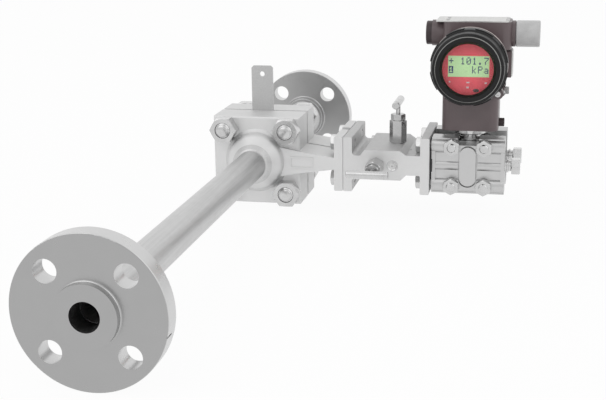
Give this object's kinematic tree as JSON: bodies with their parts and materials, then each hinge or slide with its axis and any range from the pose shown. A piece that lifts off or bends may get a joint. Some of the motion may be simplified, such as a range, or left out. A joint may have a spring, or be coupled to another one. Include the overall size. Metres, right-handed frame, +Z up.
{
  "type": "integral orifice flow meter",
  "caption": "Flanged meter run with orifice plate, three-valve manifold and pressure transmitter with a display that reads the flow's pressure drop.",
  "frame": {"origin": "centre of the inlet flange's raised face, on the pipe axis", "axes": "+Y along the pipe in the direction of flow, +X from the pipe towards the transmitter, +Z up"},
  "size_m": [0.3726, 0.8, 0.2211],
  "materials": {
    "cast_stainless": "satin cast",
    "machined_stainless": "fine machined",
    "polished_stainless": "polished",
    "fastener_steel": "satin",
    "gasket": "matt",
    "seal_rubber": "matt",
    "housing_paint": "satin paint",
    "cover_paint": "satin paint",
    "window_glass": "clear",
    "dial_red": "printed",
    "display": "lit screen",
    "board": "matt",
    "terminal_plastic": "matt",
    "nameplate": "satin",
    "plug_black": "satin",
    "cap_grey": "moulded"
  },
  "bodies": {
    "meter": {"inlet_flange": "machined_stainless", "inlet_pipe": "cast_stainless", "upstream_body": "cast_stainless", "plate_gaskets": "gasket", "orifice_plate": "machined_stainless", "downstream_body": "cast_stainless", "outlet_pipe": "cast_stainless", "outlet_flange": "machined_stainless", "body_studs": "fastener_steel", "body_nuts": "fastener_steel", "arm_gaskets": "gasket", "arm_bolts": "fastener_steel", "manifold_body": "machined_stainless", "manifold_plug": "fastener_steel", "transmitter_gaskets": "gasket", "transmitter_bolts": "fastener_steel", "front_process_flange": "cast_stainless", "rear_process_flange": "cast_stainless", "process_gaskets": "gasket", "sensor_module": "polished_stainless", "process_bolts": "fastener_steel", "process_nuts": "fastener_steel", "vent_seats": "polished_stainless", "stem_packings": "gasket", "equalizer_bonnet": "polished_stainless", "equalizer_gland_nut": "polished_stainless", "high_side_bonnet": "polished_stainless", "high_side_gland_nut": "polished_stainless", "low_side_bonnet": "polished_stainless", "low_side_gland_nut": "polished_stainless"},
    "housing": {"housing": "housing_paint", "cover_seals": "seal_rubber", "electronics_board": "board", "display_module": "display", "dial_plate": "dial_red", "terminal_block": "terminal_plastic", "top_nameplate": "nameplate", "nameplate_screws": "fastener_steel", "side_tag": "nameplate", "conduit_plug": "plug_black", "ground_terminal": "fastener_steel", "cover_lock_screws": "fastener_steel", "housing_set_screw": "plug_black"},
    "front_cover": {"front_cover": "cover_paint", "cover_window": "window_glass"},
    "rear_cover": {"rear_cover": "cover_paint"},
    "conduit_cap": {"conduit_cap": "cap_grey"},
    "front_vent": {"front_vent_screw": "polished_stainless"},
    "rear_vent": {"rear_vent_screw": "polished_stainless"},
    "equalizer_needle": {"equalizer_needle": "machined_stainless"},
    "equalizer_handle": {"equalizer_stem": "polished_stainless", "equalizer_t_bar": "fastener_steel"},
    "high_side_needle": {"high_side_needle": "machined_stainless"},
    "high_side_handle": {"high_side_stem": "polished_stainless", "high_side_t_bar": "fastener_steel"},
    "low_side_needle": {"low_side_needle": "machined_stainless"},
    "low_side_handle": {"low_side_stem": "polished_stainless", "low_side_t_bar": "fastener_steel"}
  },
  "joints": [
    {"name": "equalizer_lift", "type": "slide", "parent": "meter", "child": "equalizer_needle", "axis": [0, 0, 1], "range_m": [0, 0.00275]},
    {"name": "equalizer_turn", "type": "hinge", "parent": "equalizer_needle", "child": "equalizer_handle", "pos_m": [0.1558, 0.555, 0.017], "axis": [0, 0, 1], "range_deg": [0, 990.5]},
    {"name": "high_side_lift", "type": "slide", "parent": "meter", "child": "high_side_needle", "axis": [0, -1, 0], "range_m": [0, 0.00275]},
    {"name": "high_side_turn", "type": "hinge", "parent": "high_side_needle", "child": "high_side_handle", "pos_m": [0.1375, 0.507, 0], "axis": [0, -1, 0], "range_deg": [0, 990.5]},
    {"name": "low_side_lift", "type": "slide", "parent": "meter", "child": "low_side_needle", "axis": [0, 1, 0], "range_m": [0, 0.00275]},
    {"name": "low_side_turn", "type": "hinge", "parent": "low_side_needle", "child": "low_side_handle", "pos_m": [0.1375, 0.603, 0], "axis": [0, 1, 0], "range_deg": [0, 990.5]},
    {"name": "housing_swivel", "type": "hinge", "parent": "meter", "child": "housing", "pos_m": [0.2381, 0.555, 0.037], "axis": [0, 0, 1], "range_deg": [-180, 180]},
    {"name": "front_cover_off", "type": "slide", "parent": "housing", "child": "front_cover", "axis": [0, -1, 0], "range_m": [0, 0.03]},
    {"name": "rear_cover_off", "type": "slide", "parent": "housing", "child": "rear_cover", "axis": [0, 1, 0], "range_m": [0, 0.03]},
    {"name": "conduit_cap_off", "type": "slide", "parent": "housing", "child": "conduit_cap", "axis": [1, 0, 0], "range_m": [0, 0.02]},
    {"name": "front_vent_turn", "type": "hinge", "parent": "meter", "child": "front_vent", "pos_m": [0.2851, 0.528, 0], "axis": [1, 0, 0], "range_deg": [0, 540]},
    {"name": "rear_vent_turn", "type": "hinge", "parent": "meter", "child": "rear_vent", "pos_m": [0.2851, 0.582, 0], "axis": [1, 0, 0], "range_deg": [0, 540]}
  ],
  "couplings": [
    {"joint": "equalizer_turn", "follows": "equalizer_lift", "rad_per_m": 6283.2},
    {"joint": "high_side_turn", "follows": "high_side_lift", "rad_per_m": 6283.2},
    {"joint": "low_side_turn", "follows": "low_side_lift", "rad_per_m": 6283.2}
  ]
}
